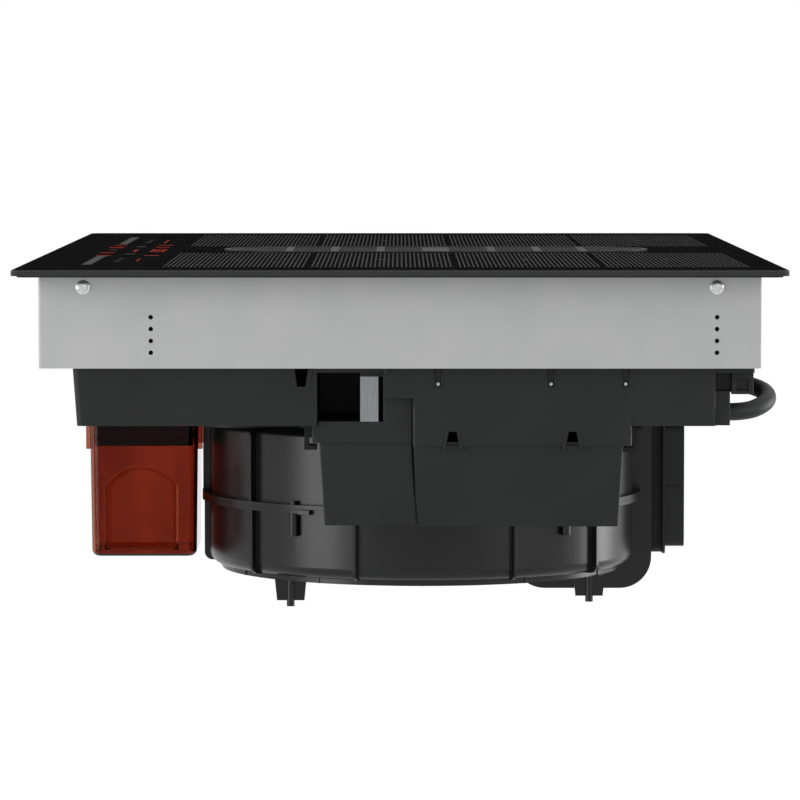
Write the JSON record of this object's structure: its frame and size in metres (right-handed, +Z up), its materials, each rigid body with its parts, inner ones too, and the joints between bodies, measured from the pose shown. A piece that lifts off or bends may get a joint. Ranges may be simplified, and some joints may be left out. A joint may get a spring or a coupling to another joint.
{
  "type": "downdraft induction cooktop",
  "caption": "Flat glass induction hob with a slatted air intake in its middle, a sheet casing, and a blower, duct outlet and overflow tank hanging below.",
  "frame": {"origin": "middle of the worktop cut-out, in the plane of the worktop's top face", "axes": "+Z up; the user stands at -Y; +X is the user's right"},
  "size_m": [0.802, 0.522, 0.2594],
  "materials": {
    "black_glass": "polished glass ceramic, printed underneath",
    "seal_foam": "closed-cell foam",
    "zinc_sheet": "zinc-coated sheet, satin",
    "spring_steel": "bright spring steel",
    "screw_steel": "zinc-plated",
    "black_screw": "black-coated steel",
    "dark_plastic": "moulded, fine grain",
    "fan_plastic": "moulded",
    "light_plastic": "moulded",
    "vent_enamel": "black enamel, satin",
    "filter_steel": "pressed stainless",
    "filter_mesh": "expanded mesh",
    "motor_steel": "machined",
    "cast_aluminium": "die cast",
    "soft_rubber": "moulded",
    "amber_plastic": "clear moulding, glossy",
    "circuit_board": "coated laminate",
    "mica": "laid sheet",
    "copper_winding": "litz winding",
    "ferrite": "pressed ferrite",
    "lead_rubber": "extruded sheath"
  },
  "bodies": {
    "cooktop": {"base_tray": "dark_plastic", "blower_feet": "dark_plastic", "blower_lower_shell": "dark_plastic", "blower_upper_shell": "dark_plastic", "cable_glands": "dark_plastic", "casing": "zinc_sheet", "casing_screws": "screw_steel", "coil_carrier_left": "cast_aluminium", "coil_carrier_right": "cast_aluminium", "coil_formers_left": "light_plastic", "coil_formers_right": "light_plastic", "electronics_cover": "dark_plastic", "fan_housing_left": "dark_plastic", "fan_housing_right": "dark_plastic", "ferrite_bars_left": "ferrite", "ferrite_bars_right": "ferrite", "glass_top": "black_glass", "heatsink_left": "cast_aluminium", "heatsink_right": "cast_aluminium", "induction_coils_left": "copper_winding", "induction_coils_right": "copper_winding", "intake_shaft": "dark_plastic", "light_frame": "light_plastic", "mica_sheet_left": "mica", "mica_sheet_right": "mica", "motor_bearings": "motor_steel", "motor_dampers": "soft_rubber", "motor_mount": "cast_aluminium", "motor_stator": "motor_steel", "outlet_collar": "dark_plastic", "panel_bracket": "zinc_sheet", "power_board_left": "circuit_board", "power_board_right": "circuit_board", "scroll_wall": "dark_plastic", "seal_strip": "seal_foam", "shell_screws": "black_screw", "strap_bracket": "zinc_sheet", "sump": "dark_plastic", "supply_board": "circuit_board", "supply_lead": "lead_rubber", "tank_seal": "soft_rubber", "tank_socket": "dark_plastic", "temperature_sensors": "light_plastic", "terminal_block": "light_plastic", "terminal_box": "dark_plastic", "terminal_cover": "dark_plastic", "touch_board": "circuit_board", "tray_screws": "screw_steel", "vent_frame": "vent_enamel", "worktop_clips": "spring_steel"},
    "filter_unit": {"filter_cassette": "filter_steel", "filter_rim": "filter_steel", "filter_meshes": "filter_mesh"},
    "grille": {"grille": "vent_enamel"},
    "impeller": {"impeller": "fan_plastic", "rotor_cup": "motor_steel", "motor_shaft": "motor_steel"},
    "cooling_fan_left": {"fan_rotor_left": "dark_plastic"},
    "cooling_fan_right": {"fan_rotor_right": "dark_plastic"},
    "overflow_tank": {"overflow_tank": "amber_plastic"}
  },
  "joints": [
    {"name": "filter_lift", "type": "slide", "parent": "cooktop", "child": "filter_unit", "axis": [0, 0, 1], "range_m": [0, 0.115]},
    {"name": "grille_lift", "type": "slide", "parent": "filter_unit", "child": "grille", "axis": [0, 0, 1], "range_m": [0, 0.04]},
    {"name": "impeller_spin", "type": "hinge", "parent": "cooktop", "child": "impeller", "pos_m": [0, 0.0161, -0.2], "axis": [0, 0, 1], "continuous": true},
    {"name": "cooling_fan_left_spin", "type": "hinge", "parent": "cooktop", "child": "cooling_fan_left", "pos_m": [-0.19, -0.165, -0.09], "axis": [0, 0, 1], "continuous": true},
    {"name": "cooling_fan_right_spin", "type": "hinge", "parent": "cooktop", "child": "cooling_fan_right", "pos_m": [0.19, -0.165, -0.09], "axis": [0, 0, 1], "continuous": true},
    {"name": "tank_drop", "type": "slide", "parent": "cooktop", "child": "overflow_tank", "axis": [0, 0, -1], "range_m": [0, 0.11]}
  ]
}
